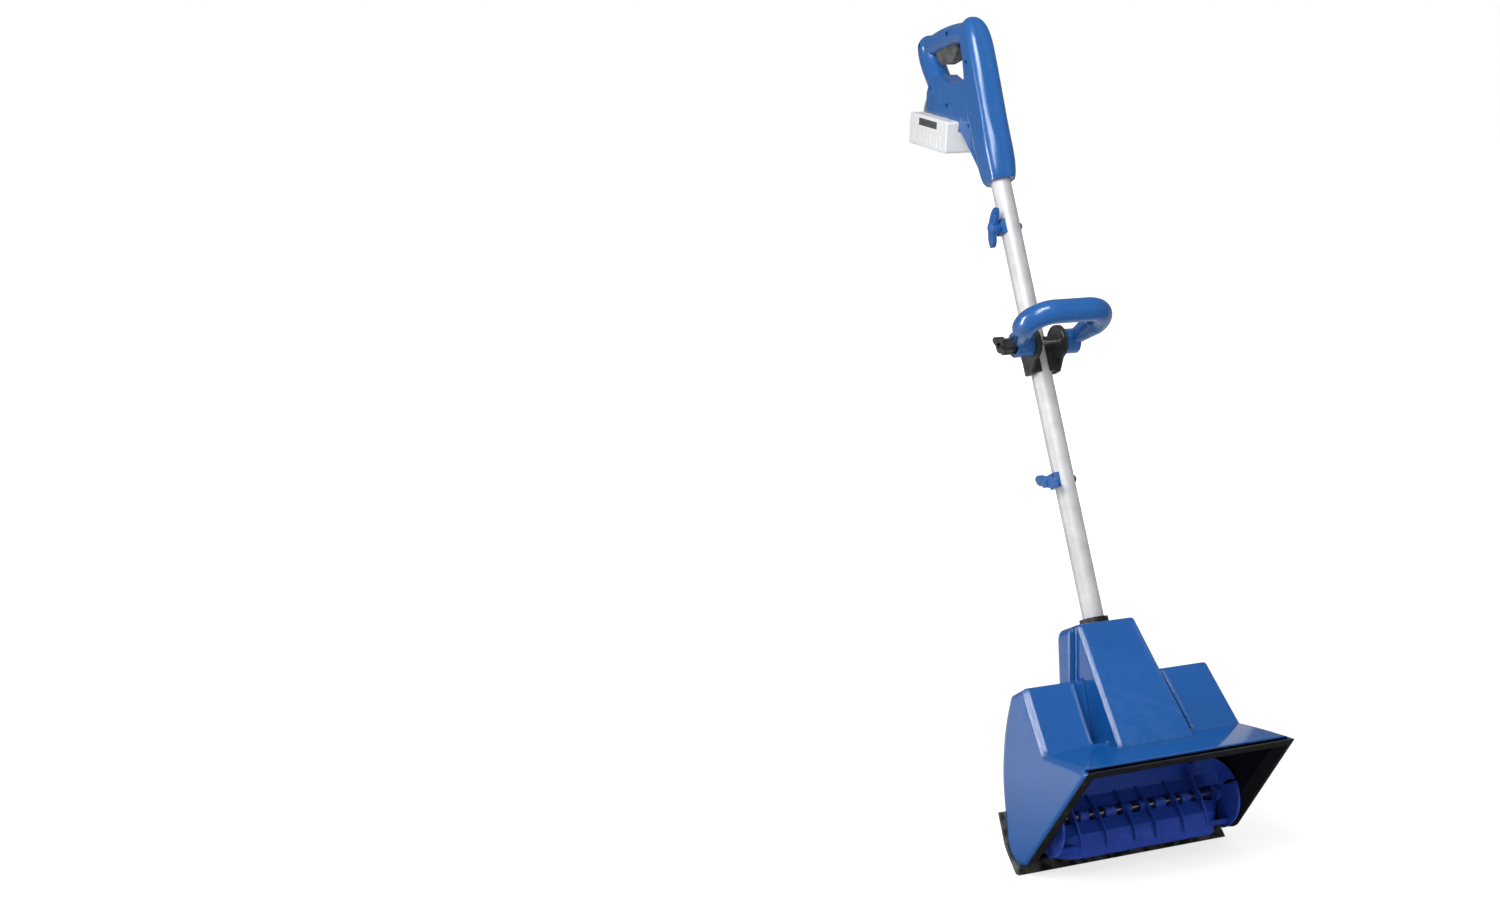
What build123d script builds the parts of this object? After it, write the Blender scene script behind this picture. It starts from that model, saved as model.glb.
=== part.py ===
"""Cordless snow shovel: a hooded rotor head on a three-piece pole with a front loop handle,
a rear grip with trigger and a slide-on battery pack.

The tool is drawn in its pole frame: Z runs up the pole axis, Y points to the back, X to the side, and
the pole enters the head at the origin. placed() then leans the pole back to its working angle and puts
the middle of the scraper's ground edge at the origin of the part.
"""
from build123d import *
import os
from math import atan2, cos, hypot, radians, sin, sqrt

# ---------------------------------------------------------------- driving dimensions (mm, degrees)
LEAN = 23.0                 # the pole leans back by this angle when the scraper is on the ground
FIT = 0.3                   # gap between moulded pieces that sit beside each other
SLIP = 0.05                 # radial running clearance of shafts and turning pieces
SCRAPER_HALF = 158.0        # half the clearing width; every width across the head follows it
SIDE_AT_WING = SCRAPER_HALF - 19.5      # half width of the hood at the top of the wings
LINER_X = SIDE_AT_WING - 3.5            # inside of the scoop's side walls
PLATE_X = LINER_X - 4.0                 # middle of a rotor end plate
FIN_X = PLATE_X - 36.5                  # middle of the rotor's tall inner fin
BELT_X = (LINER_X + 3.4, LINER_X + 8.0) # the belt runs between these planes, outside the liner

# rotor
AXIS_Y = 0.0                # rotor axis in the pole frame
AXIS_Z = -247.0
TIP_R = 53.0                # blade tip radius
PLATE_R = 45.0              # radius of the end plates
RIB_X = (16.0, 58.0)        # middles of the small ribs, mirrored
ROTOR_WALL = 3.0
HUB_R = 7.0
SHAFT_R = 4.0
BLADE_Y = 13.5              # the blade face stands this far off the axis
CORNER_Z = 23.0             # height of the corner where web and blade face meet
SCOOP_TURN = 88.0           # the scoop ends turn forward by this angle towards the end plates
SCOOP_STATIONS = (0.0, 0.25, 0.5, 0.75, 0.9, 1.0)
RIB_EDGE = ((13.5, 28.5), (4.0, 17.0), (-7.5, 3.0), (-16.0, -15.0), (-19.5, -30.0), (-16.5, -43.0))
FIN_EDGE = ((-5.0, 14.0), (-12.0, 0.0), (-16.0, -22.0), (-15.0, -38.0), (-4.0, -49.0))
MOTOR_SHAFT_R = 2.5

BUSH_R = 8.0
BUSH_FLANGE_R = 11.0
BUSH_FLANGE_T = 1.5
SHAFT_WINDOWS = ((0.0, 13.0), (24.5, 11.0), (50.0, 10.0), (65.5, 9.0), (87.5, 9.0))  # middle, width

# drive
ROTOR_PULLEY_R = 22.0
MOTOR_PULLEY_R = 7.5
BELT_T = 2.0
MOTOR_R = 21.0
MOTOR_LENGTH = 62.0
BRACKET_T = 2.5

# scoop liner
SWEEP_R = 57.0              # inside radius of the chamber behind the rotor
LINER_WALL = 2.2
RIM_W = 10.0                # visible width of the black rim
RIM_T = 3.0
MOUTH_DEPTH = 12.0

# hood
HOOD_WALL = 2.5
MOUTH_TOP = (-166.0, -201.0)        # front edge of the visor
VISOR_BULGE = (-105.0, -179.5)      # a point on the visor between its front edge and the wings
HEEL = (25.0, -258.0)               # centre of the rounded lower end of the side walls
HEEL_R = 38.5
WING_FOOT = (-60.0, -166.0)
WING_HEAD = (-28.0, -79.0)
WING_BACK = (10.0, -83.0)
BACK_Y = 63.5                       # back of the hood
SIDE_SLOPE = 0.1                    # the side walls spread by this much per millimetre downwards
CHANNEL_TOP = 63.0                  # half width of the gap between the wings, at their top
CHANNEL_FOOT = 73.5                 # and at their foot
CHANNEL_DEPTH = 34.0
TOWER_FRONT = ((-29.0, -8.0), (-88.0, -172.0))
TOWER_BACK = ((21.0, -8.0), (60.0, -190.0))
TOWER_TOP = -8.0
TOWER_HALF_TOP = 42.3
TOWER_HALF_FOOT = 54.5
SIDE_ROUND = 6.0                    # rounding of the hood's long side edges
TOWER_STEP = 7.0                    # the back part of the tower is wider by this much
STEP_LINE = ((-20.0, -8.0), (14.0, -130.0))

# scraper
SCRAPER_T = 5.0
SCRAPER_TOP_Z = -224.0
SCRAPER_BEND_Z = -268.0
SCRAPER_EDGE = (50.5, -305.0)
SCREW_R = 2.0
SCREW_HEAD_R = 4.0
SCREW_DROP = 14.0                   # the screws sit this far below the scraper's top
SCREW_XS = [share * (SCRAPER_HALF - 28) for share in (-1, -0.5, 0, 0.5, 1)]

# pole
TUBE_R = 14.0
TUBE_WALL = 1.5
SPIGOT_LENGTH = 60.0
TUBE_FOOT = -66.0
JOINTS = (166.0, 524.0)             # lower rims of the middle and the upper tube
POLE_TOP = 690.0
LOCK_RISE = 22.0                    # the lock bolt crosses this far above the rim
LOCK_BOLT_R = 2.5
KNOB_TURNS = (34.0, -70.0)          # how the two wing knobs stand, from the pole towards the front
COLLAR_R = 17.5
COLLAR_H = 8.0
CABLE_R = 3.0
CABLE_Y = 6.0                       # the cable passes behind the two lock bolts

# loop handle
CLAMP_Z = 372.0
CLAMP_Y = -24.0
CLAMP_R = 23.0
CLAMP_T = 7.0
CLAMP_BOLT_R = 3.0
BAR_R = 16.0
BAR_HALF = 66.0
BAR_Y = -107.0
BAR_Z = 390.0
ARM_R = 10.5
BOSS_R = 17.0
BOSS_X = (23.0, 47.0)

# rear handle; tables are (y, z) unless they say otherwise
SPINE_ROWS = (              # height, front, back, half width, corner radius
    (612.0, -20.0, 21.0, 18.5, 15.0),
    (630.0, -24.0, 26.0, 21.0, 15.0),
    (690.0, -27.0, 26.0, 21.0, 14.0),
    (750.0, -30.5, 20.0, 20.5, 13.0),
    (800.0, -33.0, 8.0, 20.0, 12.5),
    (830.0, -31.0, 6.0, 18.0, 12.5),
    (846.0, -24.0, 2.0, 12.0, 10.0),
    (851.0, -16.0, -4.0, 5.0, 4.5),
)
ARCH = ((-2.0, 833.0), (50.0, 852.0), (113.0, 862.0))
ARCH_R = 15.5
COLUMN = ((113.0, 865.0), (114.0, 840.0), (107.0, 812.0), (104.0, 786.0))
COLUMN_R = 18.0
WEB_HALF = 17.0
TRIGGER_PIVOT = (33.0, 836.0)
TRIGGER_HALF = 7.0
TRIGGER_PIN_R = 2.0
PIN_HALF = 11.5
SWITCH = (6.0, (44.0, 64.0), (850.0, 862.0))    # half width, then y and z ranges
BOARD_Z = (698.0, 772.0)
BOARD_HALF = 12.5
BUTTON_R = 5.0
BUTTON_X = 17.0
BUTTON_AT = (76.0, 859.0)
SCREW_SEAT = 12.0
SCREWS_AT = ((113.0, 868.0), (34.0, 849.5), (2.0, 822.0), (-9.0, 786.0),
             (106.0, 798.0), (72.0, 757.0), (24.0, 706.0), (20.0, 646.0))
COLLAR_FOOT = 612.0
SHOE = ((134.0, 774.4), (78.0, 740.7))      # lower face of the battery foot, back end and front end
WEB = ((-4.0, 772.0), (24.0, 772.0), (42.0, 775.0), (60.0, 788.0), (80.0, 808.0), (104.0, 812.0),
       (121.0, 800.0), (127.0, 790.0), SHOE[0], SHOE[1], (58.0, 721.0), (41.0, 684.0), (27.0, 648.0),
       (22.0, 628.0), (-4.0, 628.0))

# battery pack
PACK_ORIGIN = (47.0, 722.0)         # front end of the pack's upper face
PACK_HALF = 36.0
PACK_LENGTH = 113.0
PACK_HEIGHT = 45.0
PACK_SPLIT = -19.0
VENTS = 9
CELL_R = 9.2
CASE_WALL = 2.5
GAUGE_U = (30.0, 84.0)
LATCH_U = (104.0, 111.0)


# ---------------------------------------------------------------- drawing helpers
def prism(points, x_low, x_high):
    """A closed outline of (y, z) points carried along X."""
    face = make_face(Polyline(*points, close=True))
    return Pos(x_low, 0, 0) * extrude(Plane.YZ * face, x_high - x_low, dir=(1, 0, 0))


def carried(curves, x_low, x_high):
    """A closed chain of curves drawn as (y, z), carried along X."""
    return Pos(x_low, 0, 0) * extrude(Plane.YZ * make_face(curves), x_high - x_low, dir=(1, 0, 0))


def rounded(points, radii):
    """A closed outline as a face, with a rounding at each corner that has a radius."""
    face = make_face(Polyline(*points, close=True))
    for (u, v), radius in zip(points, radii):
        if radius:
            corner = face.vertices().filter_by(lambda c: hypot(c.X - u, c.Y - v) < 0.01)
            face = fillet(corner, radius)
    return face


def front_prism(points, y_low, y_high):
    """A closed outline of (x, z) points carried along Y."""
    face = Plane.XZ * make_face(Polyline(*points, close=True))
    return Pos(0, y_low, 0) * extrude(face, y_high - y_low, dir=(0, 1, 0))


def rod(radius, x_low, x_high, y=AXIS_Y, z=AXIS_Z):
    """A round bar along X."""
    bar = Cylinder(radius, x_high - x_low, align=(Align.CENTER, Align.CENTER, Align.MIN))
    return Pos(x_low, y, z) * Rot(0, 90, 0) * bar


def pipe(outer, inner, z_low, z_high):
    """A tube along the pole axis."""
    ring = make_face(Circle(outer).edges()) - make_face(Circle(inner).edges())
    return Pos(0, 0, z_low) * extrude(ring, z_high - z_low)


def block(x, y, z):
    """A box from three (low, high) pairs."""
    corner = (Align.MIN, Align.MIN, Align.MIN)
    return Pos(x[0], y[0], z[0]) * Box(x[1] - x[0], y[1] - y[0], z[1] - z[0], align=corner)


def strip(points, width):
    """Closed outline of a band of one width along a broken line, with sharp corners."""
    sides = ([], [])
    for index, (y, z) in enumerate(points):
        before = points[max(index - 1, 0)]
        after = points[min(index + 1, len(points) - 1)]
        headings = []
        for start, end in ((before, (y, z)), ((y, z), after)):
            run = hypot(end[0] - start[0], end[1] - start[1])
            if run:
                headings.append(((end[0] - start[0]) / run, (end[1] - start[1]) / run))
        mean_y = sum(h[0] for h in headings) / len(headings)
        mean_z = sum(h[1] for h in headings) / len(headings)
        reach = width / 2 / (mean_y ** 2 + mean_z ** 2)
        sides[0].append((y - mean_z * reach, z + mean_y * reach))
        sides[1].append((y + mean_z * reach, z - mean_y * reach))
    return sides[0] + sides[1][::-1]


def mirrored(shape):
    """The same piece on the other side of the middle plane."""
    return mirror(shape, Plane.YZ)


def polar(radius, angle):
    """A (y, z) point about the rotor axis; the angle opens from the back upwards."""
    return (AXIS_Y + radius * cos(radians(angle)), AXIS_Z + radius * sin(radians(angle)))


def half_side(z):
    """Half width of the hood's side wall at a height."""
    return SIDE_AT_WING + SIDE_SLOPE * (WING_HEAD[1] - z)


# ---------------------------------------------------------------- the mouth of the scoop
MOUTH_TURN = atan2(HEEL[1] - HEEL_R * 0.884 - MOUTH_TOP[1], HEEL[0] - HEEL_R * 0.468 - MOUTH_TOP[0])
DOWN = (cos(MOUTH_TURN), sin(MOUTH_TURN))
INWARD = (-DOWN[1], DOWN[0])
MOUTH_RUN = hypot(HEEL[0] - HEEL_R * 0.468 - MOUTH_TOP[0], HEEL[1] - HEEL_R * 0.884 - MOUTH_TOP[1])


def mouth_point(along, depth):
    """(y, z) of a point this far down the mouth plane and this far inside it."""
    return (MOUTH_TOP[0] + along * DOWN[0] + depth * INWARD[0],
            MOUTH_TOP[1] + along * DOWN[1] + depth * INWARD[1])


def mouth_face(depth, along, half_widths):
    """A four-cornered face parallel to the mouth plane."""
    corners = []
    for reach, half in zip(along, half_widths):
        y, z = mouth_point(reach, depth)
        corners += [(-half, y, z), (half, y, z)]
    corners[2], corners[3] = corners[3], corners[2]
    return make_face(Polyline(*corners, close=True))


# ---------------------------------------------------------------- hood
def hood_outline(inset):
    """Side outline of the hood, drawn smaller by the inset."""
    heel_front = (HEEL[0] + HEEL_R * -INWARD[0], HEEL[1] + HEEL_R * -INWARD[1])
    heel_back = (HEEL[0] + HEEL_R, HEEL[1])
    curves = [
        ThreePointArc(MOUTH_TOP, VISOR_BULGE, WING_FOOT),
        Line(WING_FOOT, WING_HEAD),
        Line(WING_HEAD, WING_BACK),
        ThreePointArc(WING_BACK, (45, -140), (61, -215)),
        Line((61, -215), heel_back),
        RadiusArc(heel_back, heel_front, HEEL_R),
        Line(heel_front, MOUTH_TOP),
    ]
    face = make_face(curves)
    return offset(face, -inset) if inset else face


def between_sides(inset):
    """The block between the two leaning side walls."""
    high, low = -60.0, -320.0
    corners = [(half_side(high) - inset, high), (half_side(low) - inset, low)]
    outline = corners + [(-x, z) for x, z in reversed(corners)]
    return front_prism(outline, -200, 100)


def body_block(inset):
    """Hood body with its two wings, without the tower; only the outer skin has its roundings."""
    body = extrude(Plane.YZ * hood_outline(inset), 200, dir=(1, 0, 0), both=True)
    body = body & between_sides(inset)
    if not inset:
        body = soften(body)
    foot_y = WING_FOOT[0] + CHANNEL_DEPTH
    outline = [(-CHANNEL_TOP - inset, -60), (CHANNEL_TOP + inset, -60),
               (CHANNEL_FOOT + inset, WING_FOOT[1] + 3 - inset), (-CHANNEL_FOOT - inset, WING_FOOT[1] + 3 - inset)]
    body -= front_prism(outline, -150, foot_y + inset)
    if not inset:
        lips = body.edges().filter_by(lambda e: e.length > 40 and e.center().Y < WING_HEAD[0] - 2
                                      and CHANNEL_TOP - 3 < abs(e.center().X) < CHANNEL_FOOT + 3)
        body = fillet(lips, 2.5)
    return body


def soften(body):
    """Roundings of the hood body: wing foot, side edges, wing head and wing back, in that order."""
    def across(shape, corner):
        return shape.edges().filter_by(
            lambda e: abs(e.center().X) < 5 and hypot(e.center().Y - corner[0], e.center().Z - corner[1]) < 2)

    body = fillet(across(body, WING_FOOT), 4)
    limit = HEEL[1] + 8
    sides = body.edges().filter_by(
        lambda e: abs(e.center().X) > SIDE_AT_WING - 10 and e.center().Y > WING_FOOT[0] + 4
        and e.center().Z > limit and e.length > 3)
    body = fillet(sides, SIDE_ROUND)
    body = fillet(across(body, WING_HEAD), 4)
    return fillet(across(body, WING_BACK), 0.99 * SIDE_ROUND)


def tower_block(inset):
    """The tall middle of the hood that carries the pole: a slim front and a wider rounded back."""
    def line_y(line, z):
        (y_top, z_top), (y_foot, z_foot) = line
        return y_top + (y_foot - y_top) * (z_top - z) / (z_top - z_foot)

    def half(z):
        return TOWER_HALF_TOP + (TOWER_HALF_FOOT - TOWER_HALF_TOP) * (TOWER_TOP - z) / 160.0

    top, foot = TOWER_TOP, -174.0
    front = [(line_y(TOWER_FRONT, z), z) for z in (top, foot)]
    back = [(line_y(TOWER_BACK, z), z) for z in (foot, top)]
    step = [(line_y(STEP_LINE, z), z) for z in (top, foot)]
    middle = [(y + 12, z) for y, z in step[::-1]]
    narrow = [(half(top), top), (half(foot), foot)]
    wide = [(half(top) + TOWER_STEP, top), (half(foot) + TOWER_STEP, foot)]
    blocks = []
    for side, ends, side_round, front_round in (
            (front + middle, narrow, (4, 0, 0, 0), 5), (step + back, wide, (0, 0, 0, 12), 12)):
        profile = offset(rounded(side, side_round), -inset) if inset else rounded(side, side_round)
        outline = ends + [(-x, z) for x, z in reversed(ends)]
        width = rounded(outline, (front_round, 0, 0, front_round))
        width = offset(width, -inset) if inset else width
        blocks.append(extrude(Plane.YZ * profile, 90, dir=(1, 0, 0), both=True)
                      & extrude(Plane.XZ * width, 150, both=True))
    slim, full = blocks
    if not inset:
        upright = slim.edges().filter_by(
            lambda e: e.length > 60 and e.center().Y < -40 and abs(e.center().X) > 30)
        slim = fillet(upright, 3)
    rear = full.edges().filter_by(lambda e: e.length > 60 and e.center().Y > 20 and abs(e.center().X) > 30)
    return slim + fillet(rear, 12 - inset)


def hood_shell():
    """Glossy outer hood: body, wings, visor and tower in one moulding."""
    outer = body_block(0) + tower_block(0)
    inner = body_block(HOOD_WALL) + tower_block(HOOD_WALL)
    open_run = MOUTH_RUN + 60
    mouth = prism([mouth_point(-20, -20), mouth_point(open_run, -20), mouth_point(open_run, RIM_T),
                   mouth_point(-20, RIM_T)], -200, 200)
    reach = half_side(HEEL[1]) - HOOD_WALL - 4
    below = prism([(-60, -320), (58, -320), (58, -284), (0, -270), (-60, -250)], -reach, reach)
    within = prism([mouth_point(HOOD_WALL, 0), mouth_point(open_run, 0), mouth_point(open_run, 12),
                    mouth_point(HOOD_WALL, 12)], -300, 300) & between_sides(HOOD_WALL)
    socket = Pos(0, 0, TOWER_TOP) * Cylinder(COLLAR_R + SLIP, 40)
    return outer - inner - mouth - within - (below & between_sides(HOOD_WALL)) - socket - screw_holes()


# ---------------------------------------------------------------- scoop liner
def chamber(wall, depth=RIM_T):
    """Side outline of the chamber that the rotor sweeps, larger by the wall, from a depth behind the mouth."""
    radius = SWEEP_R + wall
    lower = polar(radius, -48)
    crown = polar(radius, 90)
    side = polar(radius, 20)
    front = mouth_point(RIM_W - wall, depth)
    deep_front = mouth_point(MOUTH_RUN - 6, depth)
    bend = (crown[0] - 62, crown[1])
    return [
        Line(front, bend),
        Line(bend, crown),
        ThreePointArc(crown, side, lower),
        Line(lower, deep_front),
        Line(deep_front, front),
    ]


def scoop_liner():
    """Black inner scoop: round back, flat side walls, flared mouth and the rim around it."""
    half = LINER_X + LINER_WALL
    shell = carried(chamber(LINER_WALL), -half, half)
    hollow = carried(chamber(0), -LINER_X, LINER_X)
    run = (RIM_W - LINER_WALL, MOUTH_RUN - 2)
    wide = [half_side(mouth_point(s, 0)[1]) - RIM_W for s in run]
    flare = loft([mouth_face(RIM_T - 1, run, [w + LINER_WALL for w in wide]),
                  mouth_face(MOUTH_DEPTH, run, (half, half))], ruled=True)
    run_in = (RIM_W, MOUTH_RUN + 20)
    wide_in = [half_side(mouth_point(s, 0)[1]) - RIM_W for s in run_in]
    flare_in = loft([mouth_face(-1, run_in, wide_in), mouth_face(MOUTH_DEPTH, run_in, (LINER_X, LINER_X))],
                    ruled=True)
    rim_run = (0, MOUTH_RUN + 4)
    rim_half = [half_side(mouth_point(s, 0)[1]) for s in rim_run]
    rim = extrude(mouth_face(0, rim_run, rim_half), RIM_T, dir=(0, INWARD[0], INWARD[1]))
    below = prism([mouth_point(MOUTH_RUN - 2, -10), (38, -330), (38, -292.5), (-6, -255)], -134, 134)
    flare = flare & carried(chamber(LINER_WALL), -200, 200)
    flare_in = flare_in & carried(chamber(0, -2), -200, 200)
    rim = rim & soften(extrude(Plane.YZ * hood_outline(0), 200, dir=(1, 0, 0), both=True) & between_sides(0))
    liner = shell + flare + rim - hollow - flare_in - below
    return liner - rod(BUSH_R + SLIP, -half - 1, half + 1)


# ---------------------------------------------------------------- scraper
def scraper_path():
    """Middle line of the scraper plate as (y, z), from its top to the ground edge."""
    top = (BACK_Y + FIT + SCRAPER_T / 2, SCRAPER_TOP_Z)
    bend = (top[0], SCRAPER_BEND_Z)
    run = hypot(bend[0] - SCRAPER_EDGE[0], bend[1] - SCRAPER_EDGE[1])
    share = (run + SCRAPER_T) / run
    tip = (bend[0] + share * (SCRAPER_EDGE[0] - bend[0]), bend[1] + share * (SCRAPER_EDGE[1] - bend[1]))
    return FilletPolyline(top, bend, tip, radius=30)


def scraper_blade():
    """Wear plate along the lower back, with its ground edge cut level."""
    section = Plane.YZ * trace(scraper_path(), SCRAPER_T)
    plate = extrude(section, SCRAPER_HALF, dir=(1, 0, 0), both=True)
    ground = Pos(0, *SCRAPER_EDGE) * Rot(LEAN, 0, 0) * block((-200, 200), (-50, 50), (-50, 0))
    return plate - ground - screw_holes()


def screw_holes():
    """Holes for the scraper's screws, through the scraper and the hood's back wall."""
    holes = Part()
    for x in SCREW_XS:
        holes += Pos(x, BACK_Y, SCRAPER_TOP_Z - SCREW_DROP) * Rot(90, 0, 0) * Cylinder(SCREW_R + SLIP, 30)
    return holes


def scraper_screws():
    """Five round-headed screws through the scraper into the hood's back wall."""
    z = SCRAPER_TOP_Z - SCREW_DROP
    face_y = BACK_Y + FIT + SCRAPER_T
    screws = []
    for x in SCREW_XS:
        shank = Pos(x, face_y, z) * Rot(90, 0, 0) * Cylinder(
            SCREW_R, SCRAPER_T + HOOD_WALL, align=(Align.CENTER, Align.CENTER, Align.MIN))
        head = Pos(x, face_y, z) * Rot(-90, 0, 0) * Cylinder(
            SCREW_HEAD_R, 1.6, align=(Align.CENTER, Align.CENTER, Align.MIN))
        screws.append(shank + head)
    return Compound(children=screws)


# ---------------------------------------------------------------- rotor
def about_axis(points, x_low, x_high):
    """An outline given about the rotor axis, carried along X."""
    return prism([(AXIS_Y + y, AXIS_Z + z) for y, z in points], x_low, x_high)


def turned_copy(points):
    """The same points turned half way round the axis."""
    return [(-y, -z) for y, z in points]


def blade_line():
    """Half of the S-shaped section: from the axis over the corner to the tip."""
    return [(BLADE_Y, CORNER_Z), (BLADE_Y - 2.0, sqrt(TIP_R ** 2 - (BLADE_Y - 2.0) ** 2) + 2)]


def scoop_end(side):
    """The blade ends wrap forward towards the end plate, so the edge bows in the front view."""
    upper = blade_line()
    outline = strip(turned_copy(upper)[::-1] + upper, ROTOR_WALL)
    sections = []
    run = PLATE_X - FIN_X
    for share in SCOOP_STATIONS:
        turn = SCOOP_TURN * (1 - sqrt(1 - share ** 2)) ** 0.75
        face = make_face(Polyline(*outline, close=True))
        station = Pos(FIN_X + share * run, AXIS_Y, AXIS_Z) * Rot(turn, 0, 0) * (Plane.YZ * face)
        sections.append(station)
    end = loft(sections, ruled=True)
    return end if side > 0 else mirrored(end)


def rib(front_edge, x, thickness=ROTOR_WALL):
    """A rib whose front edge swings from one blade over the hub to the other."""
    back_edge = turned_copy(front_edge)
    curves = [Spline(*front_edge), Line(front_edge[-1], back_edge[0]), Spline(*back_edge),
              Line(back_edge[-1], front_edge[0])]
    face = Plane.YZ * make_face(curves)
    return Pos(x - thickness / 2, AXIS_Y, AXIS_Z) * extrude(face, thickness, dir=(1, 0, 0))


def end_plate(x):
    """Two-lobed end plate: each lobe closes the front of one scoop."""
    start, middle, stop = [(PLATE_R * cos(radians(a)), PLATE_R * sin(radians(a))) for a in (168, 225, 282)]
    neck = (HUB_R + 3.5, -HUB_R)
    curves = [ThreePointArc(start, middle, stop), Line(stop, neck), Line(neck, (-start[0], -start[1])),
              ThreePointArc(*turned_copy([start, middle, stop])),
              Line(turned_copy([stop])[0], turned_copy([neck])[0]), Line(turned_copy([neck])[0], start)]
    face = Plane.YZ * make_face(curves)
    plate = Pos(x - ROTOR_WALL / 2, AXIS_Y, AXIS_Z) * extrude(face, ROTOR_WALL, dir=(1, 0, 0))
    boss = rod(HUB_R + 4, -5, 5)
    return plate + Pos(x - 5 * (1 if x > 0 else -1), 0, 0) * boss


def rotor():
    """One-piece plastic rotor: S-shaped blades, ribs, fins, wrapped ends and end plates."""
    upper = blade_line()
    outline = strip(turned_copy(upper)[::-1] + upper, ROTOR_WALL)
    body = about_axis(outline, -FIN_X, FIN_X)
    body += rod(HUB_R, -FIN_X, FIN_X)
    for middle, width in SHAFT_WINDOWS:
        for side in (-1, 1):
            body -= rod(HUB_R + 2, side * middle - width / 2, side * middle + width / 2)
    for x in RIB_X:
        body += rib(RIB_EDGE, x) + rib(RIB_EDGE, -x)
    for side in (-1, 1):
        body += rib(FIN_EDGE, side * FIN_X)
        end = scoop_end(side) - rod(HUB_R + 3, *sorted((side * (FIN_X + 1), side * (PLATE_X - 11))))
        body += end
        body += end_plate(side * PLATE_X)
        bar = [(-14, -38), (-4, -42), (-4, -39), (-13, -35)]
        for outline in (bar, turned_copy(bar)):
            body += about_axis(outline, *sorted((side * FIN_X, side * PLATE_X)))
    envelope = rod(TIP_R, -FIN_X, FIN_X)
    for side in (-1, 1):
        flank = Cone(TIP_R, PLATE_R, PLATE_X - FIN_X + 2, align=(Align.CENTER, Align.CENTER, Align.MIN))
        envelope += Pos(side * FIN_X, AXIS_Y, AXIS_Z) * Rot(0, 90 * side, 0) * flank
    return (body & envelope) - rod(SHAFT_R, -PLATE_X - 10, PLATE_X + 10)


def rotor_shaft():
    """Steel shaft through the rotor, both bushes and the driven pulley."""
    return rod(SHAFT_R, -LINER_X - 6, BELT_X[1] + 1.5)


def rotor_bush(side):
    """Flanged plain bearing in the side wall of the liner."""
    inside = LINER_X - FIT - BUSH_FLANGE_T
    flange = rod(BUSH_FLANGE_R, inside, inside + BUSH_FLANGE_T)
    sleeve = rod(BUSH_R, inside, LINER_X + LINER_WALL + 0.4)
    bush = flange + sleeve - rod(SHAFT_R + SLIP, inside - 1, LINER_X + 20)
    return bush if side > 0 else mirrored(bush)


# ---------------------------------------------------------------- drive
MOTOR_Z = AXIS_Z + SWEEP_R + LINER_WALL + MOTOR_R + FIT


def grooved_pulley(radius, y, z, bore):
    """Flat-belt pulley with two flanges."""
    low, high = BELT_X
    drum = rod(radius, low - 0.6, high + 0.6, y, z)
    for x in (low - 0.6, high):
        drum += rod(radius + BELT_T * 0.6, x, x + 0.6, y, z)
    return drum - rod(bore, low - 5, high + 5, y, z)


def rotor_pulley():
    """Large pulley on the rotor shaft, lightened by six round holes."""
    pulley = grooved_pulley(ROTOR_PULLEY_R, AXIS_Y, AXIS_Z, SHAFT_R)
    for step in range(6):
        y, z = polar(ROTOR_PULLEY_R * 0.6, 60 * step)
        pulley -= rod(4.5, 100, 200, y, z)
    return pulley


def belt_loop(extra):
    """Outline round both pulleys as a solid, larger by the extra."""
    reach = MOTOR_Z - AXIS_Z
    big, small = ROTOR_PULLEY_R + extra, MOTOR_PULLEY_R + extra
    lean = (big - small) / reach
    side = sqrt(1 - lean ** 2)
    wedge = [(AXIS_Y + s * r * side, z + r * lean) for s, r, z in
             ((1, big, AXIS_Z), (1, small, MOTOR_Z), (-1, small, MOTOR_Z), (-1, big, AXIS_Z))]
    low, high = BELT_X[0] + FIT, BELT_X[1] - FIT
    return prism(wedge, low, high) + rod(big, low, high) + rod(small, low, high, AXIS_Y, MOTOR_Z)


def drive_belt():
    """Rubber belt from the motor pulley to the rotor pulley."""
    return belt_loop(FIT + BELT_T) - belt_loop(FIT)


def motor():
    """Brushed motor can with its end cap and terminals."""
    face_x = LINER_X - 0.5
    can = rod(MOTOR_R, face_x - MOTOR_LENGTH, face_x, AXIS_Y, MOTOR_Z)
    cap = rod(MOTOR_R - 6, face_x - MOTOR_LENGTH - 5, face_x - MOTOR_LENGTH, AXIS_Y, MOTOR_Z)
    nose = rod(6, face_x, face_x + BRACKET_T, AXIS_Y, MOTOR_Z)
    return can + cap + nose - rod(MOTOR_SHAFT_R + SLIP, face_x - 12, face_x + 10, AXIS_Y, MOTOR_Z)


def motor_bracket():
    """Plate that holds the motor on the liner beside the belt."""
    low = LINER_X - 0.5
    floor = AXIS_Z + SWEEP_R + LINER_WALL
    plate = block((low, low + BRACKET_T), (-26, 26), (floor, MOTOR_Z + MOTOR_R - 3))
    foot = block((low - 8, low), (-26, -23), (floor, floor + 2.5)) + block(
        (low - 8, low), (23, 26), (floor, floor + 2.5))
    return plate + foot - rod(6 + SLIP, low - 1, low + 5, AXIS_Y, MOTOR_Z)


def motor_pulley():
    """Small drive pulley with the motor shaft it is pressed on."""
    return grooved_pulley(MOTOR_PULLEY_R, AXIS_Y, MOTOR_Z, MOTOR_SHAFT_R)


def motor_shaft():
    """Output shaft of the motor."""
    return rod(MOTOR_SHAFT_R, LINER_X - 10, BELT_X[1] + 0.6, AXIS_Y, MOTOR_Z)


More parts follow.
